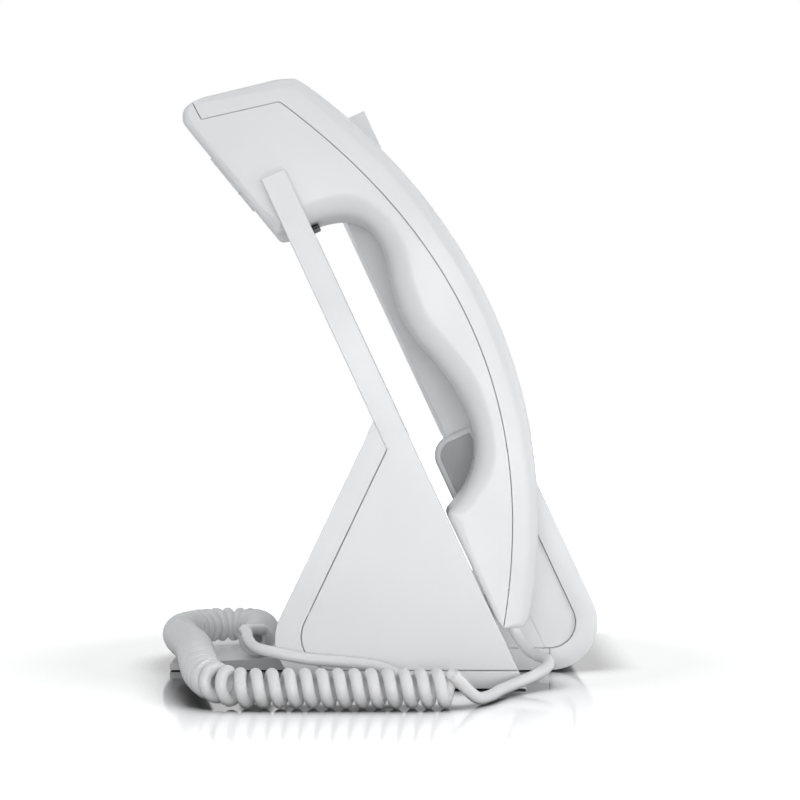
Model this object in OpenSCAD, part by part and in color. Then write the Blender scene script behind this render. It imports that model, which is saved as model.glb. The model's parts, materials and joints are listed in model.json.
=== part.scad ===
// Corded desk telephone: an L-shaped leaning console on a thin base plate, and beside it a
// triangular holder whose long slanted arm carries the handset.
//
// Frame: +X to the user's right, -Y towards the user, +Z up. The origin is on the desk, at the
// middle of the telephone's width and of the base plate's depth. Millimetres.
//
// Side outlines are drawn in (u, v): u runs towards the user, v up. Leaning parts are drawn in
// (x, s, n): s up the slope, n out of the slope towards the user.

/* [Body] */
// Overall width across the holder and the console
body_w = 215; // [200:1:240]
// Depth of the base plate, back to front
base_d = 162; // [155:1:170]
// Lean of the console and of the handset arm from vertical, in degrees
lean = 25; // [24:0.25:26]
// Lean of the holder's rear leg from vertical, in degrees
leg_lean = 25.5; // [25:0.25:26]
// How far the rubber feet stand proud of the underside
foot_proud = 0.4; // [0.2:0.1:0.8]

/* [Console] */
// Distance of the console's front face from the origin, square to the slope
front_n = 82.6; // [81.5:0.1:83.5]
// Height of the console up the slope
console_s = 195.2; // [190:0.1:200]
// Thickness of the front shell where its edge shows
shell_t = 8; // [7:0.5:9]
// Thickness of the leaning console, front face to back face
console_t = 23.7; // [22:0.1:26]
// Outer radius of the bend from the console into the base
bend_r = 18; // [16:0.5:20]
// Plastic wall thickness
wall = 2.5; // [2:0.1:3]

/* [Handset bay] */
// Width of the handset bay, left face of the holder to left face of the console
bay_w = 60; // [58:1:64]
// Width of the handset
handset_w = 45.5; // [42:0.5:46]
// Distance of the arm's front face from the origin, square to the slope
arm_n = 46.2; // [45:0.1:47]
// Depth of the arm, front to back
arm_t = 9.1; // [8:0.1:10]
// Height of the arm up the slope
arm_s = 181.9; // [175:0.1:190]
// Thickness of the side covers
cheek_t = 5.5; // [4:0.5:6]
// Thickness of the holder's wrap-around shell
wrap_t = 8.5; // [7:0.5:9]

/* [Keys] */
// Width of a dial key
key_w = 18; // [14:1:19]
// Height of a dial key
key_h = 11; // [9:1:12]
// How far a key travels when pressed
key_travel = 1.2; // [0.8:0.1:1.2]
// Gap around a key in its hole
key_gap = 0.4; // [0.3:0.1:0.6]

/* [Cord] */
// Outside diameter of the coiled part of the cord
coil_d = 13.6; // [12:0.2:14]
// Diameter of the cord itself
cord_d = 4.2; // [3.8:0.2:4.6]

/* [Hidden] */
$fn = 48;
fit = 0.2;                      // gap between neighbouring shells
left = -body_w / 2;             // x of the holder's left face
right = body_w / 2;             // x of the console's right face
con_x0 = left + bay_w;          // x of the console's left face
con_w = body_w - bay_w;
floor_v = foot_proud;           // height of every underside
base_t = floor_v + shell_t;     // top of the base plate at the front
base_tail_t = 2.8;              // top of the base plate at its rear edge
skin_n = front_n - wall;        // inner side of the console's front skin
shell_n = front_n - shell_t;    // back of the front shell's edge
back_n = front_n - console_t;   // the console's back face
arm_back_n = arm_n - arm_t;
wrap_bottom = 6.7;              // top of the holder's bottom wall
wrap_r = 18;                    // outer radius of the holder's rear corner
wrap_in_r = 12;                 // inner radius of the holder's rear corner
leg_m = 43.95;                  // rear leg's outer face, measured square to the leg
cradle_s = 158;                 // top of the cradle plate up the slope
recess = 3;                     // how far the console's back shell sits in from its sides
bend_c = [u_at(front_n - bend_r, floor_v + bend_r), floor_v + bend_r];
screw_r = 1.5;
boss_r = 3.6;
coil_on_desk = coil_d / 2;      // height of the coil's middle where it lies on the desk
coil_on_plate = 12;             // and where it lies on the base plate's tail, arched a little

// A point of a side outline from its distances out of the slope and up the slope.
function pt(n, s) = [n * cos(lean) - s * sin(lean), n * sin(lean) + s * cos(lean)];
// How far up the slope the plane at n reaches the height v.
function s_at(n, v) = (v - n * sin(lean)) / cos(lean);
// Where the plane at n crosses the height v.
function u_at(n, v) = (n - v * sin(lean)) / cos(lean);
// Where the rear leg's plane at m crosses the height v.
function leg_u(m, v) = (v * sin(leg_lean) - m) / cos(leg_lean);
// A cubic curve through four control points.
function curve(c, steps = 16) = [for (i = [0:steps]) let (t = i / steps)
    pow(1 - t, 3) * c[0] + 3 * t * pow(1 - t, 2) * c[1] + 3 * t * t * (1 - t) * c[2] + pow(t, 3) * c[3]];
// Points on a circle from angle a to angle b.
function arc(c, r, a, b, steps) = [for (i = [0:steps])
    let (t = a + (b - a) * i / steps) c + r * [cos(t), sin(t)]];
function unit(a) = a / norm(a);
// A closed outline moved inwards by d; the outline runs anticlockwise.
function inset(p, d) = [for (i = [0:len(p) - 1])
    let (t = unit(p[(i + 1) % len(p)] - p[(i + len(p) - 1) % len(p)])) p[i] + d * [-t[1], t[0]]];
function reversed(p) = [for (i = [len(p) - 1:-1:0]) p[i]];
// A list without its first and last points.
function inner(p) = [for (i = [1:len(p) - 2]) p[i]];

// Draws a side outline across the width from x0 to x1.
module across(x0, x1) {
    translate([x1, 0, 0]) rotate([90, 0, -90]) linear_extrude(x1 - x0) children();
}

// Turns the (x, s, n) frame of the slope into the model's frame.
module leaned() {
    rotate([90 - lean, 0, 0]) children();
}

// A box in the frame of the slope, from its two corners.
module slope_box(a, b) {
    leaned() translate(a) cube(b - a);
}

// A box from its two corners, in (x, u, v).
module side_box(a, b) {
    translate([a[0], -b[1], a[2]]) cube([b[0] - a[0], b[1] - a[1], b[2] - a[2]]);
}

/* ---------- Console ---------- */

// Centres of the console's controls: across from the console's left face, and up the slope.
key_cols = [26, 49, 72];
key_rows = [97, 81, 65, 49];
soft_cols = [30, 61.5, 93, 124.5];
soft_s = 116;
soft_size = [24, 6.5];
side_cols = [103, 127];
side_s = 97;
rocker_at = [115, 78];
rocker_size = [42, 11];
speaker_at = [115, 44];
speaker_r = 15;
window_size = [118, 50];
window_at = [con_w / 2, 154];
lamp_at = [127, 187];
lamp_size = [20, 3];
mat_at = [con_w / 2, 80.5];
vents_at = [con_w / 2 - 16, 45];

// Places its children on the console's front face: x across, y up the slope, z out of the face.
module on_front(at) {
    leaned() translate([con_x0 + at[0], at[1], front_n]) children();
}

// A centred block from z0 to z1.
module plate(size, z0, z1) {
    translate([-size[0] / 2, -size[1] / 2, z0]) cube([size[0], size[1], z1 - z0]);
}

// Places its children at the four case screws, with z from the back face towards the user.
module at_bosses(n) {
    for (x = [con_x0 + 15, right - 15], s = [30, console_s - 15.5]) leaned() translate([x, s, n]) children();
}

module key_hole(at, size) {
    on_front(at) plate(size + 2 * [key_gap, key_gap], -wall - 1, 1);
}

module grille(r, pitch, hole_r, depth) {
    for (i = [-3:3], j = [-3:3])
        if (norm([i, j]) * pitch < r)
            translate([i * pitch, j * pitch, -depth]) cylinder(r = hole_r, h = depth + 1);
}

module console_front() {
    color("white") difference() {
        union() {
            across(con_x0, right) polygon(concat(arc(bend_c, bend_r, -90, lean, 16),
                [pt(front_n, console_s), pt(shell_n, console_s)],
                arc(bend_c, bend_r - shell_t, lean, -90, 16)));
            at_bosses(back_n + wall + fit) cylinder(r = boss_r, h = console_t - 2 * wall);
        }
        difference() {
            slope_box([con_x0 + 3, 2, shell_n - 1], [right - 3, console_s - 3, skin_n]);
            at_bosses(back_n + wall + fit) cylinder(r = boss_r, h = console_t);
        }
        at_bosses(back_n) cylinder(r = screw_r + 0.05, h = console_t - wall - 1.5);
        on_front(window_at) plate(window_size, -1.8, 1);
        on_front(window_at) plate(window_size - [4, 4], -wall - 1, 1);
        for (r = key_rows, c = key_cols) key_hole([c, r], [key_w, key_h]);
        for (c = soft_cols) key_hole([c, soft_s], soft_size);
        for (c = side_cols) key_hole([c, side_s], [key_w, key_h]);
        key_hole(rocker_at, rocker_size);
        on_front(speaker_at) grille(speaker_r - 2, 3.6, 0.9, wall + 1);
        on_front(lamp_at) plate(lamp_size, -wall - 1, 1);
    }
}

// The console's back shell: an open tray that also fills the bend.
module console_back() {
    x0 = con_x0 + recess;
    x1 = right - recess;
    top_s = console_s - 3.5;
    color("white") difference() {
        across(x0, x1) polygon(concat([[u_at(back_n, base_t + fit), base_t + fit]],
            arc(bend_c, bend_r - shell_t - fit, -90, lean, 14),
            [pt(shell_n - fit, top_s), pt(back_n, top_s)]));
        slope_box([x0 + wall, 2, back_n + wall], [x1 - wall, top_s - wall, front_n]);
        on_front(vents_at) translate([0, 0, -console_t]) for (i = [-4:4])
            translate([i * 6, 0, 0]) plate([2, 30], -1, wall + 1);
        at_bosses(back_n - 1) cylinder(r = screw_r + 0.1, h = wall + 2);
        slope_box([right - 62, 32, back_n - 1], [right - 45.6, 46, back_n + wall + 1]);
    }
}

// Places its children at the feet of the base plate: four at its corners, two in its middle.
module at_base_feet() {
    for (x = [con_x0 + 12, right - 12], u = [12 - base_d / 2, bend_c[0] - 14])
        translate([x, -u, 0]) children();
    for (x = [0, con_x0 + right]) translate([x, 0, 0]) children();
}

// Places its children at the stakes that hold the ballast plate in the base plate's pocket.
module at_stakes() {
    for (x = [con_x0 + 30, right - 30], u = [16, 36]) translate([x, -u, 0]) children();
}

// The base plate carries the console and runs back thin behind it.
module base_plate() {
    u0 = -base_d / 2;
    color("white") difference() {
        across(con_x0, right) polygon([[u0, floor_v], [bend_c[0] - fit, floor_v], [bend_c[0] - fit, base_t],
            [25, base_t], [u0, base_tail_t]]);
        difference() {
            side_box([con_x0 + 20, 8, floor_v - 1], [right - 20, 44, 5]);
            at_stakes() translate([0, 0, 0.9]) cylinder(r = 1.8, h = 5);
        }
        at_base_feet() translate([0, 0, -1]) cylinder(r = 5, h = 2);
        for (u = [-10, 40]) translate([con_x0 - 1, -u, 3.5]) rotate([0, 90, 0]) cylinder(r = 2.05, h = 14);
    }
}

// A hollow gusset behind the console's foot, standing on the base plate.
module console_gusset() {
    x0 = con_x0 + recess;
    x1 = right - recess;
    n1 = back_n - 0.05;
    v0 = base_t + 0.05;
    outline = [[38, v0], [u_at(n1, v0), v0], pt(n1, 22), pt(n1 - 6, 24)];
    color("white") difference() {
        across(x0, x1) polygon(outline);
        across(x0 + wall, x1 - wall) polygon(inset(outline, wall));
    }
}

module ballast_plate() {
    color("dimgray") difference() {
        side_box([con_x0 + 20.3, 8.3, 0.8], [right - 20.3, 43.7, 4.7]);
        at_stakes() cylinder(r = 2, h = 6);
    }
}

module rubber_feet() {
    color("dimgray") {
        at_base_feet() cylinder(r = 4.8, h = 0.95);
        for (u = [-12, 30]) translate([left + 29, -u, 0]) cylinder(r = 4.8, h = 0.95);
    }
}

module case_screws() {
    color("silver") at_bosses(back_n - 1) {
        cylinder(r = 2.6, h = 0.9);
        cylinder(r = screw_r, h = 14);
    }
}

module tie_screws() {
    color("silver") for (u = [-10, 40]) translate([left + 50, -u, 3.5]) rotate([0, 90, 0]) {
        cylinder(r = 2, h = 20);
        cylinder(r = 2.6, h = 1.5);
    }
}

module display_window() {
    color("lightblue") on_front(window_at) plate(window_size - 2 * [0.15, 0.15], -1.7, -0.1);
}

module display_module() {
    color("darkslategray") on_front(window_at) difference() {
        plate(window_size - [6, 6], -5.5, -wall - 0.2);
        plate(window_size - [14, 14], -wall - 0.8, 0);
    }
}

module main_board() {
    color("darkgreen") difference() {
        slope_box([con_x0 + 9, 8, back_n + 9], [right - 9, console_s - 14, back_n + 10.6]);
        at_bosses(back_n + 5) cylinder(r = boss_r + 0.3, h = 8);
    }
}

// The silicone mat under the keys, with one dome for each key, drawn collapsed.
module keypad_mat() {
    dome_top = -wall - 2.7 - key_travel;
    color("gainsboro") {
        on_front(mat_at) difference() {
            plate([126, 85], -10.5, -9.2);
            translate([speaker_at[0] - mat_at[0], speaker_at[1] - mat_at[1], -12])
                cylinder(r = speaker_r + 2, h = 4);
        }
        for (r = key_rows, c = key_cols) on_front([c, r]) dome(-9.3, dome_top);
        for (c = soft_cols) on_front([c, soft_s]) dome(-9.3, dome_top);
        for (c = side_cols) on_front([c, side_s]) dome(-9.3, dome_top);
        for (d = [-14, 14]) on_front([rocker_at[0] + d, rocker_at[1]]) dome(-9.3, dome_top - 0.6);
    }
}

module dome(z0, z1) {
    translate([0, 0, z0]) cylinder(r1 = 3.6, r2 = 2.4, h = z1 - z0);
}

module loudspeaker() {
    color("dimgray") on_front(speaker_at) {
        translate([0, 0, -wall - 3.2]) cylinder(r = speaker_r, h = 3);
        translate([0, 0, -wall - 6]) cylinder(r1 = 8, r2 = speaker_r - 2, h = 3);
        translate([0, 0, -wall - 9]) cylinder(r = 8, h = 3.1);
    }
}

module message_lamp() {
    color("tomato") on_front(lamp_at) {
        plate(lamp_size - [0.3, 0.3], -wall - 1, 0.2);
        plate(lamp_size + [2, 2], -wall - 2, -wall - 0.1);
    }
}

module network_socket() {
    color("dimgray") difference() {
        slope_box([right - 61.8, 32.2, back_n - 0.2], [right - 45.8, 45.8, back_n + 8.8]);
        slope_box([right - 59.8, 33.5, back_n - 1], [right - 47.8, 43.5, back_n + 7]);
    }
}

// A rounded guide on the console's side that keeps the handset in the bay.
module guide_outline(n0, n1, s0, s1, r, grow = 0) {
    polygon([pt(n0 - grow, s0), pt(n1 + grow, s0), pt(n1 + grow, s1 + grow), pt(n0 + r, s1 + grow),
        pt(n0 - grow, s1 - r)]);
    translate(pt(n0 + r, s1 - r)) circle(r + grow);
}

module side_guide() {
    color("white") across(con_x0 - 4.4, con_x0 + recess - 0.1) guide_outline(51, 69.5, 12, 70.5, 8);
}

module guide_pad() {
    color("darkgray") across(con_x0 - 5.2, con_x0 - 4.45) guide_outline(51, 69.5, 12, 70.5, 8, -2.2);
}

/* ---------- Holder ---------- */

// Where the rear leg's plane at m meets the slope's plane at n.
function apex(m, n) = let (v = (m * cos(lean) + n * cos(leg_lean)) / sin(lean + leg_lean)) [u_at(n, v), v];
// The rounded corner between the rear leg's plane at m and the height v0.
function rear_corner(m, v0, r) = arc([leg_u(m - r, v0 + r), v0 + r], r, 180 - leg_lean, 270, 12);

// The wrap-around shell: rear leg, rounded rear corner and bottom wall.
module holder_wrap() {
    x1 = con_x0 - 2;
    in_m = leg_m - wrap_t;
    color("white") difference() {
        across(left, x1) polygon(concat(rear_corner(leg_m, floor_v, wrap_r - floor_v),
            [[u_at(arm_n, floor_v), floor_v], [u_at(arm_n, wrap_bottom), wrap_bottom]],
            reversed(rear_corner(in_m, wrap_bottom, wrap_in_r)),
            [apex(in_m, arm_back_n), apex(leg_m, arm_back_n)]));
        for (u = [-12, 30]) translate([left + 29, -u, -1]) cylinder(r = 5, h = 2);
        for (u = [-10, 40]) translate([left + 48, -u, 3.5]) rotate([0, 90, 0]) cylinder(r = 2.05, h = 14);
        for (u = [-10, 40]) translate([left + 44, -u, 3.5]) rotate([0, 90, 0]) cylinder(r = 2.7, h = 7.6);
        side_box([left - 1, 6, floor_v - 1], [left + 24, 12, 5.2]);
        side_box([left + 10, 2, floor_v - 1], [left + 24, 16, wrap_bottom + 1]);
    }
}

// A side cover fills the shell's side and carries on up the slope as an arm.
module side_cover(x0, x1, top_s) {
    m = leg_m - wrap_t - fit;
    v0 = wrap_bottom + fit;
    across(x0, x1) polygon(concat(rear_corner(m, v0, wrap_in_r - fit),
        [[u_at(arm_n, v0), v0], pt(arm_n, top_s), pt(arm_back_n, top_s), apex(m, arm_back_n)]));
}

module holder_left_cover() {
    color("whitesmoke") side_cover(left, left + cheek_t, arm_s);
}

module holder_right_cover() {
    color("whitesmoke") side_cover(con_x0 - 6, con_x0 - 2, cradle_s);
}

// The plate between the side covers: the mouthpiece lies on it and the earpiece hooks over it.
module cradle_plate() {
    x0 = left + cheek_t + fit;
    x1 = con_x0 - 6 - fit;
    low_s = s_at(arm_n - 3, wrap_bottom + fit);
    color("whitesmoke") difference() {
        union() {
            slope_box([x0, low_s, arm_n - 3], [x1, cradle_s, arm_n]);
            slope_box([x0, cradle_s - 3, arm_back_n + fit], [x1, cradle_s, arm_n]);
            slope_box([x0, 100, arm_back_n + fit], [x1, cradle_s, arm_back_n + 2]);
        }
        slope_box([left + 20.6, cradle_s - 4, arm_back_n + 2.4], [left + 41.4, cradle_s + 1, arm_n + 1]);
        slope_box([left + 14, 26, arm_n - 1.2], [left + 48, 50, arm_n + 1]);
    }
}

module mouth_pad() {
    color("darkgray") slope_box([left + 14.2, 26.2, arm_n - 1.1], [left + 47.8, 49.8, arm_n - 0.05]);
}

// The hook: a black tongue in the cradle's top edge that the handset's earpiece presses down.
module hook_lever() {
    color("black") {
        slope_box([left + 21, cradle_s + 1.4, arm_back_n + 2.8], [left + 41, cradle_s + 2.8, arm_n + 2.7]);
        slope_box([left + 29, cradle_s - 9, arm_back_n + 3], [left + 33, cradle_s + 1.4, arm_back_n + 5]);
    }
}

module hook_switch() {
    color("dimgray") slope_box([left + 24, cradle_s - 18, arm_back_n + 2.2],
        [left + 38, cradle_s - 9.4, arm_n - 3.2]);
}

module cord_socket() {
    color("dimgray") difference() {
        side_box([left + 10.2, 2.2, 0.6], [left + 23.8, 15.8, 10]);
        side_box([left + 9, 4.8, 0.5], [left + 21, 13.2, 8]);
    }
}

module cord_plug() {
    color("lightyellow") side_box([left + 10.4, 5, 0.7], [left + 20.8, 13, 7]);
}

// A rounded rod through a list of (x, u, v) points.
module rod(points, r) {
    for (i = [0:len(points) - 2]) hull() for (p = [points[i], points[i + 1]])
        translate([p[0], -p[1], p[2]]) sphere(r, $fn = 16);
}

// The centre line of the coiled part: along the holder, round its rear corner, over the base
// plate's tail and back in a loop, in (x, u, v).
coil_line = concat(
    [[left - 52, 26.5, coil_on_desk], [left - 52, -47, coil_on_desk]],
    inner(coil_turn([[-52, -47], [-52, -60], [-34, -62], [20, -68]], coil_on_desk, coil_on_plate)),
    inner(coil_turn([[20, -68], [60, -73], [102, -92], [122, -67]], coil_on_plate, coil_on_plate)),
    coil_turn([[122, -67], [130, -46], [96, -47], [60, -49]], coil_on_plate, coil_on_plate));
// One bend of that line, from four control points (x from the holder's left face, u).
function coil_turn(points, v0, v1) = let (p = curve(points, 6))
    [for (i = [0:6]) [left + p[i][0], p[i][1], v0 + (v1 - v0) * i / 6]];

module coiled_cord() {
    r = cord_d / 2;
    color("white") {
        rod(coil_line, coil_d / 2);
        rod([[left + 30.8, 47.2, 17.2], [left + 25, 53.6, 10.9], [left + 12, 59.4, 8],
            [left, 53.8, 5.2], [left - 20, 41, 2.6], [left - 50, 28, r + 0.6]], r);
        rod([[left + 60, -49, 13], [left + 6, -48.5, 16.8], [left - 5, -41, 14.6], [left - 5, -27, 11.8],
            [left - 5, -1, 8.8], [left - 6.5, 7, 5], [left - 1, 9, 2.7], [left + 8, 9, 2.6]], r);
    }
}

/* ---------- Handset ---------- */

hs_x0 = left + 8;
hs_x1 = hs_x0 + handset_w;
back_curve = curve([[-27, 215], [34.3, 170.7], [66.7, 99.3], [52.1, 24.2]], 24);
seam_curve = curve([[-37, 209], [27.5, 161], [56.3, 101.2], [43, 21.4]], 24);
ear_curve = curve([[-33.8, 161.8], [-16.8, 172.4], [-1.5, 171.6], [1.9, 148.8]], 12);
grip_curve = curve([[1.9, 148.8], [3.3, 139.4], [7.5, 128.8], [13.5, 122.3]], 6);
mouth_curve = curve([[13.5, 122.3], [30.4, 104], [43, 84.2], [23.6, 63]], 14);
ear_face = [[-38.5, 161.2], [-71.6, 201.5]];
ear_tip = [[-72, 204.2], [-71.2, 206.8], [-68.4, 208.6]];
mouth_face = [[22.9, 61], [40.7, 23.6]];
top_edge = [[-68, 208.9], [-64.6, 210.7], [-38, 217.4], [-31.5, 217.8]];
seam_corner = [-64.9, 202.6];

// Front shell outline, anticlockwise: up the seam, round the ear tip, down the ear face and grip.
front_outline = concat(reversed(seam_curve), [seam_corner], reversed(ear_tip), reversed(ear_face),
    ear_curve, inner(grip_curve), mouth_curve, mouth_face);
// Back shell outline, anticlockwise: bottom end, up the back, along the top, down the seam.
back_outline = concat([[43.2, 21.2], [49.9, 20.9]], reversed(back_curve), reversed(top_edge),
    [seam_corner + [0.3, 0.3]], [for (p = seam_curve) p + 0.25 * unit([1, 0.6])]);
// The hollows of the two shells meet across the seam.
seam_middle = inner(inner(seam_curve));
front_hollow = concat([for (p = reversed(seam_middle)) p + [1, 0.6]],
    inset(concat([[-36, 206], [-64, 200.5], [-69, 198.5], [-38.5, 161.2]], inner(ear_curve),
    inner(grip_curve), inner(mouth_curve), [[22.9, 61], [42, 26]]), wall));
back_hollow = concat(inset(reversed(inner(inner(back_curve))), wall),
    [for (p = seam_middle) p - [1, 0.6]]);
plug_at = [(hs_x0 + hs_x1) / 2, 47];

module handset_back() {
    color("white") difference() {
        across(hs_x0, hs_x1) polygon(back_outline);
        across(hs_x0 + wall, hs_x1 - wall) polygon(back_hollow);
        side_box([plug_at[0] - 4.1, plug_at[1] - 2.1, 19], [plug_at[0] + 4.1, plug_at[1] + 2.8, 34]);
    }
}

// Places its children at the handset's two screws, given by how far up the slope and how far out
// of it each screw's head sits, with z into the handset.
module at_handset_screws() {
    for (at = [[58, 64], [126, 64.5]]) leaned() translate([plug_at[0], at[0], at[1]]) children();
}

module handset_front() {
    color("whitesmoke") difference() {
        union() {
            difference() {
                across(hs_x0, hs_x1) polygon(front_outline);
                across(hs_x0 + wall, hs_x1 - wall) polygon(front_hollow);
            }
            at_handset_screws() cylinder(r = 3.6, h = 9);
        }
        at_handset_screws() cylinder(r = screw_r + 0.1, h = 12);
        at_handset_screws() translate([0, 0, -6]) cylinder(r = 2.5, h = 7.4);
        ear_axis() for (i = [-2:2], j = [-2:2]) if (norm([i, j]) < 2.3)
            translate([i * 3.4, j * 3.4, -1]) cylinder(r = 0.9, h = wall + 2);
        mouth_axis() for (i = [-1:1]) translate([i * 3.2, 0, -1]) cylinder(r = 0.8, h = wall + 2);
    }
}

// Frames at the middle of the earpiece's and the mouthpiece's faces, with z into the handset.
module ear_axis() {
    face = ear_face[0] - ear_face[1];
    middle = (ear_face[0] + ear_face[1]) / 2;
    translate([plug_at[0], -middle[0], middle[1]]) rotate([atan2(-face[1], face[0]), 0, 0]) children();
}

module mouth_axis() {
    leaned() translate([plug_at[0], 24, arm_n + 0.4]) children();
}

module receiver_capsule() {
    color("dimgray") ear_axis() translate([0, 0, wall + 0.3]) {
        cylinder(r = 14, h = 5);
        translate([0, 0, 4.9]) cylinder(r = 9, h = 3);
    }
}

module microphone() {
    color("dimgray") mouth_axis() translate([0, 0, wall + 0.3]) cylinder(r = 4.8, h = 4.5);
}

module handset_weight() {
    color("silver") slope_box([hs_x0 + 10, 78, 74], [hs_x1 - 10, 116, 80]);
}

module handset_board() {
    color("darkgreen") slope_box([hs_x0 + 8, 20, 56], [hs_x1 - 8, 46, 57.4]);
}

module handset_screws() {
    color("silver") at_handset_screws() {
        cylinder(r = 2.3, h = 1.3);
        cylinder(r = screw_r, h = 14);
    }
}

module handset_plug() {
    color("lightyellow") {
        side_box([plug_at[0] - 3.9, plug_at[1] - 1.9, 21.4], [plug_at[0] + 3.9, plug_at[1] + 2.6, 33]);
        translate([plug_at[0], -plug_at[1] - 0.35, 19.8]) cylinder(r = cord_d / 2, h = 1.7);
    }
}

/* ---------- Keys ---------- */

// A key: a cap through the front skin and a flange behind it.
module key(at, size) {
    color("gainsboro") on_front(at) {
        plate(size, -wall - 0.6, 1.5);
        plate(size + [2, 2], -wall - 2.2, -wall - 0.2);
    }
}

module dial_key(index) {
    key([key_cols[index % 3], key_rows[floor(index / 3)]], [key_w, key_h]);
}

module volume_rocker() {
    color("gainsboro") on_front(rocker_at) {
        plate(rocker_size, -wall - 0.6, 1.5);
        plate([rocker_size[0] - 2, 8], -wall - 2.2, -wall - 0.5);
    }
}

console_front();
console_back();
base_plate();
console_gusset();
ballast_plate();
rubber_feet();
case_screws();
tie_screws();
display_window();
display_module();
main_board();
keypad_mat();
loudspeaker();
message_lamp();
network_socket();
side_guide();
guide_pad();
holder_wrap();
holder_left_cover();
holder_right_cover();
cradle_plate();
mouth_pad();
hook_lever();
hook_switch();
cord_socket();
cord_plug();
coiled_cord();
handset_back();
handset_front();
handset_screws();
receiver_capsule();
microphone();
handset_weight();
handset_board();
handset_plug();
dial_key(0);  // key_1
dial_key(1);  // key_2
dial_key(2);  // key_3
dial_key(3);  // key_4
dial_key(4);  // key_5
dial_key(5);  // key_6
dial_key(6);  // key_7
dial_key(7);  // key_8
dial_key(8);  // key_9
dial_key(9);  // key_star
dial_key(10);  // key_0
dial_key(11);  // key_hash
key([soft_cols[0], soft_s], soft_size);  // soft_key_1
key([soft_cols[1], soft_s], soft_size);  // soft_key_2
key([soft_cols[2], soft_s], soft_size);  // soft_key_3
key([soft_cols[3], soft_s], soft_size);  // soft_key_4
key([side_cols[0], side_s], [key_w, key_h]);  // speaker_key
key([side_cols[1], side_s], [key_w, key_h]);  // mute_key
volume_rocker();
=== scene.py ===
"""The looks of a corded desk telephone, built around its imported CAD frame.

Side outlines are in (u, v), as in the CAD source: u runs towards the user, v up, in millimetres.
Cord points are in (x, u, v), with x counted from the left face of the handset holder.
"""

import json
import math

import bmesh
import bpy
import numpy as np
from mathutils import Matrix, Vector


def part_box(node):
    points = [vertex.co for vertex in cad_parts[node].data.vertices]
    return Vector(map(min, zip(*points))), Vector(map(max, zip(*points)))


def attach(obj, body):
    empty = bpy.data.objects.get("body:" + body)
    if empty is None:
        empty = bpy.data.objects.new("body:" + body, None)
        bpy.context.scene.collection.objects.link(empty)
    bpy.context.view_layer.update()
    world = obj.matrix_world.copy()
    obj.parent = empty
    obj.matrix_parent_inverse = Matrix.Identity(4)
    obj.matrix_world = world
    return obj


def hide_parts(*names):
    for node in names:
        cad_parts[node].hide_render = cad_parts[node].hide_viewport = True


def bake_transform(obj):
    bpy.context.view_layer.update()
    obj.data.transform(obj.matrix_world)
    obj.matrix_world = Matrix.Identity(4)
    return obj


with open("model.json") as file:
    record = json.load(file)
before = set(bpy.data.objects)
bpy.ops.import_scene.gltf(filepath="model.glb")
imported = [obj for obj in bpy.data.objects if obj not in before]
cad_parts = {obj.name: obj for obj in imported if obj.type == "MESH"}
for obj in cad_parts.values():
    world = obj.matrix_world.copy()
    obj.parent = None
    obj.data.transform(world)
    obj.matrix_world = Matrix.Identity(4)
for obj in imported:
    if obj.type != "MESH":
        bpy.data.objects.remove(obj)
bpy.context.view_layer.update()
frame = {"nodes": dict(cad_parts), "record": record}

MM = 0.001
LEAN = math.radians(25)  # of the console's face, back from upright
UP_SLOPE = Vector((0, math.sin(LEAN), math.cos(LEAN)))
OUT_OF_SLOPE = Vector((0, -math.cos(LEAN), math.sin(LEAN)))
DIAL_KEYS = {
    **{f"key_{digit}": digit for digit in "123456789"},
    "key_star": "*", "key_0": "0", "key_hash": "#"}
OTHER_KEYS = [f"soft_key_{n}" for n in range(1, 5)] + ["speaker_key", "mute_key"]
SLOT_OF = {part["node"]: part["material_slot"] for part in frame["record"]["subparts"]}

# Places along x taken from the frame, in millimetres
left_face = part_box("holder_left_cover")[0].x / MM
handset_left, handset_right = (corner.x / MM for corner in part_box("handset_front"))


def at(x, u, v):
    """A point of the row frame from side coordinates in millimetres."""
    return Vector((x, -u, v)) * MM


# ---------------------------------------------------------------- materials


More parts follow.
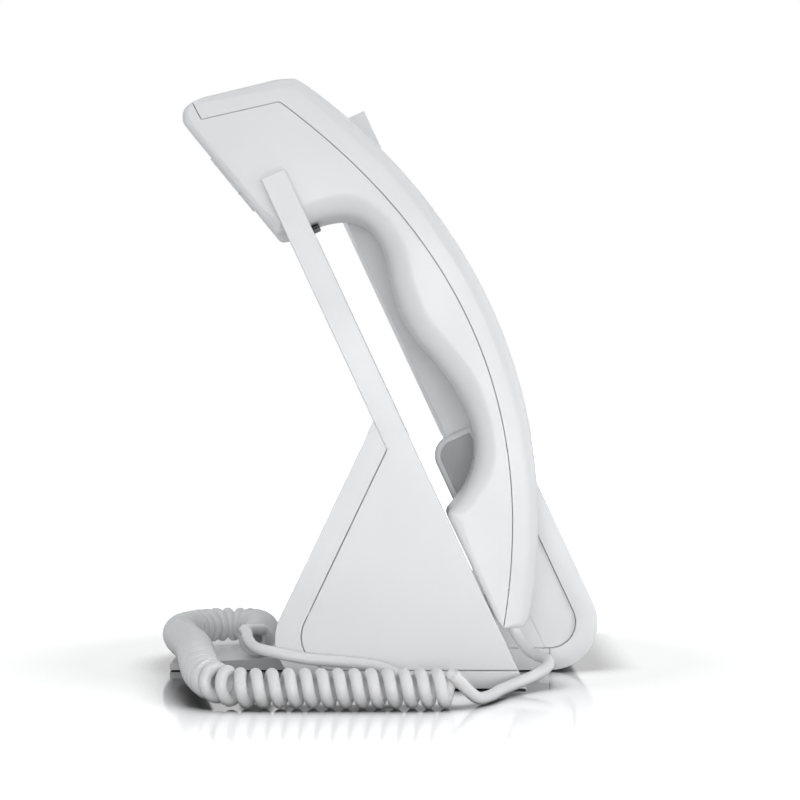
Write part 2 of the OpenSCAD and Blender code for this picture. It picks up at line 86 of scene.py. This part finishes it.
class Nodes:
    """A material under construction."""

    def __init__(self, name):
        self.material = bpy.data.materials.new(name)
        self.material.use_nodes = True
        self.tree = self.material.node_tree
        self.shader = self.tree.nodes["Principled BSDF"]
        self.place = self.add("ShaderNodeTexCoord").outputs["Object"]

    def add(self, kind, **values):
        """A new node with the given settings."""
        node = self.tree.nodes.new(kind)
        for key, value in values.items():
            setattr(node, key, value)
        return node

    def link(self, source, target):
        self.tree.links.new(source, target)

    def noise(self, scale, detail=3.0, roughness=0.5):
        """Soft random patches, finer for a larger scale."""
        node = self.add("ShaderNodeTexNoise")
        node.inputs["Scale"].default_value = scale
        node.inputs["Detail"].default_value = detail
        node.inputs["Roughness"].default_value = roughness
        self.link(self.place, node.inputs["Vector"])
        return node.outputs["Fac"]

    def spread(self, source, low, high, start=0.3, end=0.7):
        """A source's values from start to end, mapped on low to high."""
        node = self.add("ShaderNodeMapRange")
        for key, value in (("From Min", start), ("From Max", end), ("To Min", low), ("To Max", high)):
            node.inputs[key].default_value = value
        self.link(source, node.inputs["Value"])
        return node.outputs["Result"]

    def bump(self, source, depth):
        """Relief of a depth in metres, laid over any relief the material already has."""
        node = self.add("ShaderNodeBump")
        node.inputs["Distance"].default_value = depth
        node.inputs["Strength"].default_value = 1.0
        self.link(source, node.inputs["Height"])
        previous = self.shader.inputs["Normal"]
        if previous.links:
            self.link(previous.links[0].from_socket, node.inputs["Normal"])
        self.link(node.outputs["Normal"], previous)

    def tint(self, color, variation, scale):
        """The base colour, lighter and darker in soft patches."""
        mix = self.add("ShaderNodeMix", data_type="RGBA")
        dark = [c * (1 - variation) for c in color]
        mix.inputs["A"].default_value = (*dark, 1)
        mix.inputs["B"].default_value = (*color, 1)
        self.link(self.spread(self.noise(scale), 0, 1), mix.inputs["Factor"])
        self.link(mix.outputs["Result"], self.shader.inputs["Base Color"])


def moulded(name, color, roughness, grain=0.00002, patches=0.02, scatter=0.0):
    """Injection-moulded plastic: a fine spark-eroded grain, and gloss that varies a little."""
    m = Nodes(name)
    m.tint(color, variation=patches, scale=14)
    gloss = m.spread(m.noise(35, detail=4), roughness - 0.04, roughness + 0.05)
    m.link(gloss, m.shader.inputs["Roughness"])
    m.bump(m.noise(2600, detail=2, roughness=0.6), grain)
    m.bump(m.noise(60, detail=2), grain)
    m.shader.inputs["IOR"].default_value = 1.5
    if scatter:
        m.shader.inputs["Subsurface Weight"].default_value = scatter
        m.shader.inputs["Subsurface Radius"].default_value = (0.0012, 0.0011, 0.0010)
        m.shader.inputs["Subsurface Scale"].default_value = 1.0
    return m.material


def elastomer(name, color, roughness):
    """Rubber or silicone: matt, with a slightly uneven skin."""
    m = Nodes(name)
    m.tint(color, variation=0.10, scale=90)
    m.link(m.spread(m.noise(200), roughness - 0.06, roughness + 0.08), m.shader.inputs["Roughness"])
    m.bump(m.noise(1500, detail=4), 0.00004)
    m.shader.inputs["Sheen Weight"].default_value = 0.15
    return m.material


def steel(name, color, roughness):
    """Plain rolled or turned steel with fine drawn lines."""
    m = Nodes(name)
    stretch = m.add("ShaderNodeMapping")
    stretch.inputs["Scale"].default_value = (40, 2200, 2200)
    m.link(m.place, stretch.inputs["Vector"])
    lines = m.add("ShaderNodeTexNoise")
    lines.inputs["Scale"].default_value = 1.0
    m.link(stretch.outputs["Vector"], lines.inputs["Vector"])
    m.tint(color, variation=0.12, scale=60)
    m.shader.inputs["Metallic"].default_value = 1.0
    gloss = m.spread(lines.outputs["Fac"], roughness - 0.08, roughness + 0.12)
    m.link(gloss, m.shader.inputs["Roughness"])
    m.bump(lines.outputs["Fac"], 0.00001)
    return m.material


def circuit_board(name, color):
    """Solder mask over faint copper tracks."""
    m = Nodes(name)
    m.tint(color, variation=0.35, scale=25)
    tracks = m.add("ShaderNodeTexBrick")
    tracks.inputs["Scale"].default_value = 180
    tracks.inputs["Mortar Size"].default_value = 0.03
    m.link(m.place, tracks.inputs["Vector"])
    m.bump(tracks.outputs["Fac"], 0.00006)
    m.shader.inputs["Roughness"].default_value = 0.3
    return m.material


def window(name, color):
    """A smoked display window with a polished face."""
    m = Nodes(name)
    m.tint(color, variation=0.05, scale=10)
    m.link(m.spread(m.noise(20), 0.03, 0.07), m.shader.inputs["Roughness"])
    m.shader.inputs["Transmission Weight"].default_value = 0.75
    m.shader.inputs["IOR"].default_value = 1.49
    return m.material


def screen(name, color):
    """A reflective display cell with a faint grid of picture cells."""
    m = Nodes(name)
    m.tint(color, variation=0.1, scale=20)
    cells = m.add("ShaderNodeTexChecker")
    cells.inputs["Scale"].default_value = 1600
    m.link(m.place, cells.inputs["Vector"])
    m.bump(cells.outputs["Fac"], 0.00002)
    m.shader.inputs["Roughness"].default_value = 0.18
    return m.material


WHITE = (0.88, 0.885, 0.89)
MATERIALS = {  # by the record's material slots
    "console_white": moulded("console_white", WHITE, 0.36, scatter=0.12),
    "holder_white": moulded("holder_white", WHITE, 0.34, scatter=0.12),
    "handset_white": moulded("handset_white", WHITE, 0.32, scatter=0.12),
    "cord_white": moulded("cord_white", (0.88, 0.88, 0.88), 0.30, grain=0.00004, patches=0.03, scatter=0.2),
    "key_grey": moulded("key_grey", (0.58, 0.585, 0.60), 0.45, grain=0.00003),
    # Painted shade: the pad's mid grey stands in for the shade on the side guide's face behind the handset
    "pad_grey": elastomer("pad_grey", (0.60, 0.60, 0.61), 0.6),
    "hook_black": moulded("hook_black", (0.012, 0.012, 0.013), 0.4, grain=0.00004),
    "socket_black": moulded("socket_black", (0.02, 0.02, 0.02), 0.5, grain=0.00004),
    "speaker_black": moulded("speaker_black", (0.015, 0.015, 0.015), 0.6, grain=0.00006),
    "display_dark": screen("display_dark", (0.045, 0.055, 0.06)),
    "window_glass": window("window_glass", (0.55, 0.60, 0.62)),
    "lamp_red": moulded("lamp_red", (0.55, 0.03, 0.02), 0.25, scatter=0.4),
    "plug_clear": moulded("plug_clear", (0.70, 0.70, 0.66), 0.12, scatter=0.5),
    "mat_silicone": elastomer("mat_silicone", (0.5, 0.5, 0.5), 0.55),
    "board_green": circuit_board("board_green", (0.012, 0.09, 0.035)),
    "ballast_steel": steel("ballast_steel", (0.38, 0.38, 0.39), 0.42),
    "screw_steel": steel("screw_steel", (0.55, 0.55, 0.56), 0.3),
    "foot_rubber": elastomer("foot_rubber", (0.03, 0.03, 0.03), 0.7),
}


def dress(obj, slot):
    """Gives an object the material of a slot, and no other."""
    obj.data.materials.clear()
    obj.data.materials.append(MATERIALS[slot])


# ---------------------------------------------------------------- CAD nodes


EDGE_WIDTHS = {  # radius of the moulded edges, in millimetres
    "console_front": 0.9, "console_back": 0.3, "base_plate": 0.7, "console_gusset": 0.2,
    "holder_wrap": 0.45, "holder_left_cover": 0.45, "holder_right_cover": 0.45, "cradle_plate": 0.4,
    "side_guide": 1.2, "guide_pad": 0.2, "mouth_pad": 0.4, "hook_lever": 0.5, "cord_plug": 0.4,
    "handset_plug": 0.4, "volume_rocker": 0.9, "display_window": 0.1,
    **dict.fromkeys(DIAL_KEYS, 0.9), **dict.fromkeys(OTHER_KEYS, 0.8)}
OTHER_EDGES = 0.15  # the same, for every node not named above
WITH_MANY_HOLES = ["console_front", "console_back"]  # merging their flat faces spoils the shading
BEVEL_SHADING_ONLY = ["console_front"]  # weighted normals would darken round its holes
OWN_MESH = ["handset_front", "handset_back", "coiled_cord"]  # drawn again below


def round_edges(obj, width):
    """Welds the imported corners, then rounds every sharp edge."""
    weld = obj.modifiers.new("weld", "WELD")
    weld.merge_threshold = 0.002 * MM
    if obj.name not in WITH_MANY_HOLES:
        flat = obj.modifiers.new("flat faces", "DECIMATE")
        flat.decimate_type = "DISSOLVE"
        flat.angle_limit = math.radians(0.6)
    bevel = obj.modifiers.new("moulded edges", "BEVEL")
    bevel.width = width * MM
    bevel.segments = 3
    bevel.limit_method = "ANGLE"
    bevel.angle_limit = math.radians(32)
    bevel.use_clamp_overlap = True
    bevel.miter_outer = "MITER_ARC"
    bevel.harden_normals = True
    if obj.name not in BEVEL_SHADING_ONLY:
        even = obj.modifiers.new("even shading", "WEIGHTED_NORMAL")
        even.weight = 100


for node_name, node in frame["nodes"].items():
    dress(node, SLOT_OF[node_name])
    if node_name not in OWN_MESH:
        node.data.shade_smooth()
        round_edges(node, EDGE_WIDTHS.get(node_name, OTHER_EDGES))


# ---------------------------------------------------------------- handset


def cubic(points, steps=40):
    """Points along a cubic Bezier curve, given by its two ends and two handles."""
    a, b, c, d = (np.array(p, float) for p in points)
    t = np.linspace(0, 1, steps + 1)[:, None]
    return (1 - t) ** 3 * a + 3 * t * (1 - t) ** 2 * b + 3 * t * t * (1 - t) * c + t ** 3 * d


def path(*parts):
    """One polyline from curves and points laid end to end, without repeated points."""
    joined = np.vstack([np.atleast_2d(np.array(p, float)) for p in parts])
    steps = np.linalg.norm(np.diff(joined, axis=0), axis=1)
    return joined[np.insert(steps > 1e-6, 0, True)]


def lengths(points):
    """The distance from a polyline's start to each of its points."""
    return np.insert(np.cumsum(np.linalg.norm(np.diff(points, axis=0), axis=1)), 0, 0)


def along(points, distances):
    """Points at the given distances along a polyline."""
    s = lengths(points)
    return np.stack([np.interp(distances, s, points[:, k]) for k in range(points.shape[1])], 1)


def resample(points, spacing):
    """The same line with its points evenly spaced, as near to the spacing as its length allows."""
    total = lengths(points)[-1]
    return along(points, np.linspace(0, total, int(total / spacing) + 1))


def soften(values, reach):
    """A moving average that keeps both ends where they are."""
    values = np.array(values, float)
    flat = values.ndim == 1
    rows = values[:, None] if flat else values
    head = 2 * rows[0] - rows[1:reach + 1][::-1]
    tail = 2 * rows[-1] - rows[-reach - 1:-1][::-1]
    padded = np.vstack([head, rows, tail])
    kernel = np.ones(2 * reach + 1) / (2 * reach + 1)
    smooth = np.stack([np.convolve(padded[:, k], kernel, "valid") for k in range(rows.shape[1])], 1)
    return smooth[:, 0] if flat else smooth


def mesh_object(name, vertices, faces, slot, body=None):
    """A smooth-shaded piece, riding on a body if one is named."""
    mesh = bpy.data.meshes.new(name)
    mesh.from_pydata([tuple(v) for v in vertices], [], faces)
    bm = bmesh.new()
    bm.from_mesh(mesh)
    bmesh.ops.remove_doubles(bm, verts=bm.verts, dist=0.001 * MM)
    bmesh.ops.recalc_face_normals(bm, faces=bm.faces)
    bm.to_mesh(mesh)
    bm.free()
    mesh.shade_smooth()
    obj = bpy.data.objects.new(name, mesh)
    bpy.context.scene.collection.objects.link(obj)
    dress(obj, slot)
    if body:
        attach(obj, body)
    return obj


# The handset from the side. Its seam and both contours run from the mouthpiece to the earpiece.
SEAM_FOOT = (43, 21.4)      # where the seam meets the outline, at the mouthpiece's end
SEAM_HEAD = (-68.2, 208.8)  # and at the earpiece's end
EAR_LOW = (-38.5, 161.2)    # the flat face that lies on the ear runs from here
EAR_HIGH = (-71.6, 201.5)   # to here
SEAM = path([SEAM_HEAD, (-64.9, 202.6)],
            cubic([(-37, 209), (27.5, 161), (56.3, 101.2), SEAM_FOOT]))[::-1]
FRONT_CONTOUR = path(
    [SEAM_FOOT, (40.7, 23.6), (22.9, 61)],
    cubic([(23.6, 63), (43, 84.2), (30.4, 104), (13.5, 122.3)]),
    cubic([(13.5, 122.3), (7.5, 128.8), (3.3, 139.4), (1.9, 148.8)]),
    cubic([(1.9, 148.8), (-1.5, 171.6), (-16.8, 172.4), (-33.8, 161.8)]),
    [EAR_LOW, EAR_HIGH, (-72, 204.2), (-71.2, 206.8), SEAM_HEAD])
BACK_CONTOUR = path(
    [SEAM_FOOT, (43.4, 21.1), (49.9, 20.9)],
    cubic([(52.1, 24.2), (66.7, 99.3), (34.3, 170.7), (-27, 215)]),
    [(-31.5, 217.8), (-38, 217.4), (-64.6, 210.7), SEAM_HEAD])
# Wanted radius of each half's long edges, as (share of the contour's length, radius)
FRONT_FILLETS = [(0, 2), (0.12, 3), (0.2, 6), (0.3, 9), (0.66, 9), (0.76, 6), (0.8, 3), (1, 3)]
BACK_FILLETS = [(0, 2), (0.08, 5), (0.75, 5), (0.9, 4), (1, 2)]
LEAST_FILLET = 0.05
BEND_SHARE = 0.65   # most that a fillet may take of the contour's own bend radius
WIDTH_SHARE = 0.7   # and of the shell's width from contour to seam
FILLET_STEPS = 9
SAMPLE = 1.0        # spacing of the outline's points
SEAM_GAP = 0.3      # width of the groove between the two halves
SEAM_LIP = 1.6      # how far the edge turns inwards at the groove


def directions(points, side):
    """Unit vectors square to a polyline, to its left for side 1 and to its right for side -1, and
    the angle by which it turns towards that side at each point."""
    tangent = soften(np.gradient(points, axis=0), 2)
    tangent /= np.linalg.norm(tangent, axis=1)[:, None]
    turn = np.gradient(np.unwrap(np.arctan2(tangent[:, 1], tangent[:, 0]))) * side
    return np.stack([-tangent[:, 1], tangent[:, 0]], 1) * side, turn


def fillet_radius(contour, turn, fillets):
    """The fillet along a contour: the wanted radius, less where the shell is narrow or bends tightly."""
    straight = 1e-3   # turns below this count as none
    smoothing = 0.3   # most that evening out may add
    share = lengths(contour) / lengths(contour)[-1]
    wanted = np.interp(share, *zip(*fillets))
    bend_radius = np.where(turn > straight, SAMPLE / np.maximum(turn, straight), math.inf)
    seam = resample(SEAM, SAMPLE)
    width = np.array([np.linalg.norm(seam - p, axis=1).min() for p in contour])
    radius = np.minimum.reduce([wanted, BEND_SHARE * bend_radius, WIDTH_SHARE * width])
    return np.maximum(np.minimum(soften(radius, 3), radius + smoothing), LEAST_FILLET)


def unfold(contour, inward, radius):
    """Lowers the radius wherever the fillet's inner edge would run backwards."""
    most_tries, each_cut, least_advance = 80, 0.93, 0.03
    along_contour = np.diff(contour, axis=0)
    for _ in range(most_tries):
        inner = contour + inward * radius[:, None]
        backwards = (np.diff(inner, axis=0) * along_contour).sum(axis=1) < least_advance
        if not backwards.any():
            break
        radius[:-1][backwards] *= each_cut
        radius[1:][backwards] *= each_cut
    return radius


def strip(rows):
    """Vertices and faces of a surface through rows of (side outline, x)."""
    n = len(rows[0][0])
    vertices = [at(x, *p) for points, xs in rows for p, x in zip(points, np.broadcast_to(xs, n))]
    faces = [(k * n + i, k * n + i + 1, (k + 1) * n + i + 1, (k + 1) * n + i)
             for k in range(len(rows) - 1) for i in range(n - 1)]
    return vertices, faces


def fillet_rows(contour, inward, radius):
    """Outlines from the flat side to the contour's face, each with its depth below the flat side."""
    rows = []
    for angle in np.linspace(math.pi / 2, 0, FILLET_STEPS):
        points = contour + inward * (radius * (1 - math.cos(angle)))[:, None]
        rows.append((points, radius * (1 - math.sin(angle))))
    return rows


def shell(name, contour, fillets, side, node):
    """A moulded half of the handset: flat sides from the seam, then a fillet into the contour's
    face. side says on which side of the contour the seam lies, as in directions."""
    contour = soften(resample(contour, SAMPLE), 1)
    inward, turn = directions(contour, side)
    radius = unfold(contour, inward, fillet_radius(contour, turn, fillets))
    seam = resample(SEAM, SAMPLE)
    edge = (seam - directions(seam, side)[0] * SEAM_GAP / 2)[1:-1]
    rows = fillet_rows(contour, inward, radius)
    left_rows = [(points, handset_left + depth) for points, depth in rows]
    right_rows = [(points, handset_right - depth) for points, depth in reversed(rows)]
    vertices, faces = strip(left_rows + right_rows)
    n = len(contour)
    last_row = (2 * FILLET_STEPS - 1) * n
    for start, face_x, into in ((0, handset_left, 1), (last_row, handset_right, -1)):
        lip, lip_faces = strip([(edge, face_x), (edge, face_x + into * SEAM_LIP)])
        base = len(vertices)
        vertices += lip
        faces += [tuple(base + i for i in face) for face in lip_faces]
        faces.append(tuple(range(start, start + n)) + tuple(range(base + len(edge) - 1, base - 1, -1)))
    obj = mesh_object(name, vertices, faces, "handset_white", "handset")
    even = obj.modifiers.new("even shading", "WEIGHTED_NORMAL")
    even.weight = 90
    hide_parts(node)


shell("handset_front_shell", FRONT_CONTOUR, FRONT_FILLETS, -1, "handset_front")
shell("handset_back_shell", BACK_CONTOUR, BACK_FILLETS, 1, "handset_back")


GRILLE_CELLS = 7        # across the panel, each way
GRILLE_PITCH = 3.4
GRILLE_HOLE = 0.95      # radius of the hole in each cell
GRILLE_RISE = 0.6       # the panel's height over the face
HOLE_CORNERS = 16


def grille_cell(x, middle, up_face, out):
    """The points of a square block with a round hole: at each corner of the hole, four from the
    block's outer foot over its top and down the hole. middle is in (u, v), and up_face and out are
    unit vectors along the face and off it."""
    vertices = []
    for k in range(HOLE_CORNERS):
        c = math.cos(2 * math.pi * k / HOLE_CORNERS)
        s = math.sin(2 * math.pi * k / HOLE_CORNERS)
        square = GRILLE_PITCH / 2 / max(abs(c), abs(s))
        profile = [(square, 0), (square, GRILLE_RISE), (GRILLE_HOLE, GRILLE_RISE), (GRILLE_HOLE, 0)]
        for reach, rise in profile:
            vertices.append(at(x + reach * c, *(middle + up_face * reach * s + out * rise)))
    return vertices


def earpiece_grille():
    """A low round panel of cells in the middle of the face that lies on the ear."""
    low, high = np.array(EAR_LOW), np.array(EAR_HIGH)
    up_face = (high - low) / np.linalg.norm(high - low)
    out = np.array((-up_face[1], up_face[0]))
    middle = (low + high) / 2
    middle_x = (handset_left + handset_right) / 2
    places = (np.arange(GRILLE_CELLS) - (GRILLE_CELLS - 1) / 2) * GRILLE_PITCH
    vertices, faces = [], []
    for across in places:
        for along_face in places:
            if math.hypot(across, along_face) > GRILLE_CELLS * GRILLE_PITCH / 2:
                continue
            base = len(vertices)
            vertices += grille_cell(middle_x + across, middle + up_face * along_face, up_face, out)
            for k in range(HOLE_CORNERS):
                here, there = base + 4 * k, base + 4 * ((k + 1) % HOLE_CORNERS)
                faces += [(here + i, there + i, there + i + 1, here + i + 1) for i in range(3)]
    obj = mesh_object("earpiece_grille", vertices, faces, "handset_white", "handset")
    obj.data.shade_flat()


earpiece_grille()


# ---------------------------------------------------------------- cord


WIRE = 4.2        # diameter of the cord
COIL = 13.6       # outside diameter of the coiled part
ON_FLOOR = COIL / 2  # height of the coil's middle where it lies on the desk
ON_PLATE = 12.0      # and where it lies on the base plate
FLOOR_RUN = [(-52, 26.5), (-52, -47)]  # the coil's straight start, in (x, u)
COIL_BENDS = [  # (curve in (x, u), height of the coil's middle at its start and at its end)
    ([(-52, -47), (-52, -60), (-34, -62), (20, -68)], ON_FLOOR, ON_PLATE),
    ([(20, -68), (60, -73), (102, -92), (122, -67)], ON_PLATE, ON_PLATE),
    ([(122, -67), (130, -46), (96, -47), (60, -49)], ON_PLATE, ON_PLATE)]
COIL_PITCH = [  # (distance along the coil, from one turn to the next)
    (0, 5.5), (68, 5.45), (95, 5.1), (170, 4.9), (205, 6.2), (250, 4.9)]
STEPS_PER_TURN = 26
MARGIN = 14       # coil points left out at each end, where the wire leaves for its tail


def sweep(name, points, radius, slot, sides=12):
    """A round tube along a polyline, given in metres, with closed ends."""
    points = np.array(points, float)
    tangents = np.gradient(points, axis=0)
    tangents /= np.linalg.norm(tangents, axis=1)[:, None]
    normal = np.cross(tangents[0], (0, 0, 1))
    normal /= np.linalg.norm(normal)
    vertices = []
    for p, t in zip(points, tangents):
        normal = normal - t * (normal @ t)
        normal /= np.linalg.norm(normal)
        other = np.cross(t, normal)
        for k in range(sides):
            a = 2 * math.pi * k / sides
            vertices.append(p + radius * (math.cos(a) * normal + math.sin(a) * other))
    faces = []
    for i in range(len(points) - 1):
        here, there = i * sides, (i + 1) * sides
        for k in range(sides):
            after = (k + 1) % sides
            faces.append((here + k, here + after, there + after, there + k))
    faces += [tuple(range(sides))[::-1], tuple((len(points) - 1) * sides + k for k in range(sides))]
    return mesh_object(name, vertices, faces, slot)


def coil_centre():
    """The middle of the coiled part, from the handset's end round to the socket's end."""
    spacing, softening = 0.5, 12
    parts = [[(x, u, ON_FLOOR) for x, u in FLOOR_RUN]]
    for points, low, high in COIL_BENDS:
        flat = cubic(points)
        parts.append(np.column_stack([flat, np.linspace(low, high, len(flat))]))
    return soften(resample(path(*parts), spacing), softening)


def coil_wire(centre):
    """The cord's own line round the coil, whose turns stand a little apart."""
    s = lengths(centre)
    pitch = np.interp(s, *zip(*COIL_PITCH))
    turns = np.insert(np.cumsum(np.diff(s) / pitch[1:]), 0, 0)
    even = np.arange(0, turns[-1], 1 / STEPS_PER_TURN)
    place = along(centre, np.interp(even, turns, s))
    forward = np.gradient(place, axis=0)
    forward /= np.linalg.norm(forward, axis=1)[:, None]
    up = np.array((0, 0, 1.0)) - forward * forward[:, 2:]
    up /= np.linalg.norm(up, axis=1)[:, None]
    near = np.cross(forward, up)
    angle = 2 * math.pi * even[:, None]
    reach = (COIL - WIRE) / 2
    return place + reach * (np.sin(angle) * near - np.cos(angle) * up)


def spline(points, spacing=0.8):
    """A smooth line through points (centripetal Catmull-Rom), resampled evenly."""
    steps = 24  # between two of the points
    p = np.array(points, float)
    p = np.vstack([2 * p[0] - p[1], p, 2 * p[-1] - p[-2]])
    out = []
    for a, b, c, d in zip(p, p[1:], p[2:], p[3:]):
        knots = np.cumsum([0] + [np.linalg.norm(y - x) ** 0.5 for x, y in ((a, b), (b, c), (c, d))])
        for t in np.linspace(knots[1], knots[2], steps, endpoint=False):
            a1 = a + (b - a) * (t - knots[0]) / (knots[1] - knots[0])
            a2 = b + (c - b) * (t - knots[1]) / (knots[2] - knots[1])
            a3 = c + (d - c) * (t - knots[2]) / (knots[3] - knots[2])
            b1 = a1 + (a2 - a1) * (t - knots[0]) / (knots[2] - knots[0])
            b2 = a2 + (a3 - a2) * (t - knots[1]) / (knots[3] - knots[1])
            out.append(b1 + (b2 - b1) * (t - knots[1]) / (knots[2] - knots[1]))
    return resample(np.array(out + [p[-2]]), spacing)


def in_frame(points):
    """Cord points, as points of the row frame in metres."""
    return np.array([at(left_face + x, u, v) for x, u, v in points])


def lay_cord():
    """The coil with the tail that goes under the holder, and the tail that follows the handset."""
    wire = coil_wire(coil_centre())
    handset_tail = spline([
        (30.75, 47, 20.5), (30.5, 49.2, 16.1), (25, 53.6, 10.9), (16, 59, 8.9), (9, 58.5, 7.2),
        (0, 53.6, 5.2), (-8, 47.5, 3.6), (-20, 41, 2.5), (-36, 36, 2.2), (-45, 31.5, 3), wire[MARGIN]])
    socket_tail = spline([
        wire[-MARGIN], (45, -51.5, 17), (22, -49.5, 17.9), (8, -48, 16.8), (-3, -44.5, 15.1),
        (-5, -37, 13.6), (-5, -27.7, 11.8), (-5, -0.7, 8.7), (-6.5, 7, 5.0), (-1, 9, 2.7), (8, 9, 2.6)])
    cord_line = in_frame(np.vstack([wire[MARGIN:-MARGIN], socket_tail[1:]]))
    cord = sweep("coiled_cord_coil", cord_line, WIRE / 2 * MM, "cord_white")
    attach(cord, "base")
    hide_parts("coiled_cord")
    tail = sweep("coiled_cord_tail", in_frame(handset_tail), WIRE / 2 * MM, "cord_white")
    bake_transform(tail)


lay_cord()


# ---------------------------------------------------------------- legends


LEGEND_SIZE = 6
LEGEND_THICKNESS = 0.02  # to each side of its own plane
LEGEND_LIFT = 0.03       # of that plane over the key's face


def legend(key, sign):
    """A dial key's digit or sign, printed on the key's face."""
    curve = bpy.data.curves.new(key + "_legend", "FONT")
    curve.body = sign
    curve.size = LEGEND_SIZE * MM
    curve.align_x = "CENTER"
    curve.align_y = "CENTER"
    curve.extrude = LEGEND_THICKNESS * MM
    obj = bpy.data.objects.new(key + "_legend", curve)
    bpy.context.scene.collection.objects.link(obj)
    low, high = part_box(key)
    top = max(vertex.co.dot(OUT_OF_SLOPE) for vertex in frame["nodes"][key].data.vertices)
    centre = (low + high) / 2
    centre += OUT_OF_SLOPE * (top - centre.dot(OUT_OF_SLOPE) + LEGEND_LIFT * MM)
    turn = Matrix((Vector((1, 0, 0)), UP_SLOPE, OUT_OF_SLOPE)).transposed().to_4x4()
    obj.matrix_world = Matrix.Translation(centre) @ turn
    obj.data.materials.append(MATERIALS["hook_black"])
    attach(obj, key + "_body")


for key, sign in DIAL_KEYS.items():
    legend(key, sign)


# ---------------------------------------------------------------- stage


def floor_material():
    """A plain pale surface with a faint gloss and a painted contact shadow: its colour, gloss and glow
    darken close to the object by ambient occlusion, and it glows into the white backdrop away from it."""
    m = Nodes("floor")
    contact = m.add("ShaderNodeAmbientOcclusion")
    contact.inputs["Distance"].default_value = 0.025
    # Painted contact shadow: colour and gloss tint run from near black where ambient occlusion finds the
    # object close, to pale in the open
    shade = m.add("ShaderNodeMix", data_type="RGBA")
    shade.inputs["A"].default_value = (0.05, 0.05, 0.05, 1)
    shade.inputs["B"].default_value = (0.93, 0.93, 0.935, 1)
    open_sky = m.spread(contact.outputs["AO"], 0, 1, start=0.6, end=0.93)
    m.link(open_sky, shade.inputs["Factor"])
    m.link(shade.outputs["Result"], m.shader.inputs["Base Color"])
    m.link(shade.outputs["Result"], m.shader.inputs["Specular Tint"])
    m.shader.inputs["Roughness"].default_value = 0.08
    distance = m.add("ShaderNodeVectorMath", operation="LENGTH")
    m.link(m.place, distance.inputs[0])
    glow = m.add("ShaderNodeMath", operation="MULTIPLY")
    m.link(m.spread(distance.outputs["Value"], 0.15, 1.0, start=0.12, end=0.4), glow.inputs[0])
    # The glow fades near the object as well, as part of the painted contact shadow
    seen = m.add("ShaderNodeMath", operation="MULTIPLY")
    m.link(m.add("ShaderNodeLightPath").outputs["Is Camera Ray"], seen.inputs[0])
    m.link(open_sky, seen.inputs[1])
    m.link(seen.outputs["Value"], glow.inputs[1])
    m.shader.inputs["Emission Color"].default_value = (1, 1, 1, 1)
    m.link(glow.outputs["Value"], m.shader.inputs["Emission Strength"])
    return m.material


def area_light(name, place, aim, size, power, spread=180):
    """A rectangular lamp at a place, turned to its aim. spread is its opening angle in degrees."""
    data = bpy.data.lights.new(name, "AREA")
    data.spread = math.radians(spread)
    data.shape = "RECTANGLE"
    data.size, data.size_y = size
    data.energy = power
    obj = bpy.data.objects.new(name, data)
    bpy.context.scene.collection.objects.link(obj)
    obj.location = place
    obj.rotation_euler = (Vector(aim) - Vector(place)).to_track_quat("-Z", "Y").to_euler()


def backdrop():
    """The floor, and a world that is white to look at but lights the object softly."""
    bpy.ops.mesh.primitive_plane_add(size=12, location=(0, 0, 0))
    floor = bpy.context.object
    floor.name = "floor"
    floor.data.materials.append(floor_material())

    world = bpy.data.worlds.new("studio")
    world.use_nodes = True
    bpy.context.scene.world = world
    tree = world.node_tree
    lit = tree.nodes["Background"]
    lit.inputs["Color"].default_value = (0.95, 0.97, 1.0, 1)
    lit.inputs["Strength"].default_value = 0.42
    seen = tree.nodes.new("ShaderNodeBackground")
    seen.inputs["Color"].default_value = (1, 1, 1, 1)
    seen.inputs["Strength"].default_value = 1.0
    ray = tree.nodes.new("ShaderNodeLightPath")
    either = tree.nodes.new("ShaderNodeMath")
    either.operation = "MAXIMUM"
    tree.links.new(ray.outputs["Is Camera Ray"], either.inputs[0])
    tree.links.new(ray.outputs["Is Glossy Ray"], either.inputs[1])
    mix = tree.nodes.new("ShaderNodeMixShader")
    tree.links.new(either.outputs["Value"], mix.inputs["Fac"])
    tree.links.new(lit.outputs["Background"], mix.inputs[1])
    tree.links.new(seen.outputs["Background"], mix.inputs[2])
    tree.links.new(mix.outputs["Shader"], tree.nodes["World Output"].inputs["Surface"])


def lights():
    """Places in metres and powers in watts. The camera looks along x from the left."""
    area_light("key", (-1.5, -0.05, 0.15), (0, -0.02, 0.05), size=(0.5, 0.2), power=4.2)
    area_light("low", (-0.8, -0.4, 0.07), (-0.05, -0.03, 0.03), size=(0.3, 0.1), power=0.055, spread=40)
    area_light("front", (0.1, -1.2, 0.5), (0.05, 0, 0.08), size=(0.9, 0.8), power=2.5)
    area_light("top", (-0.3, 0.1, 1.4), (0, 0, 0.05), size=(0.7, 0.7), power=2)


CAMERA_DISTANCE = 0.856  # from the holder's left face, in metres
CAMERA_LENS = 109.0      # for a sensor 36 mm wide


def camera():
    """A level camera that looks squarely at the left side."""
    data = bpy.data.cameras.new("camera")
    data.sensor_width = 36
    data.lens = CAMERA_LENS
    obj = bpy.data.objects.new("camera", data)
    bpy.context.scene.collection.objects.link(obj)
    obj.location = (left_face * MM - CAMERA_DISTANCE, -0.006, 0.1025)
    obj.rotation_euler = (math.pi / 2, 0, -math.pi / 2)
    bpy.context.scene.camera = obj


bpy.context.scene.view_settings.view_transform = "Standard"
backdrop()
lights()
camera()
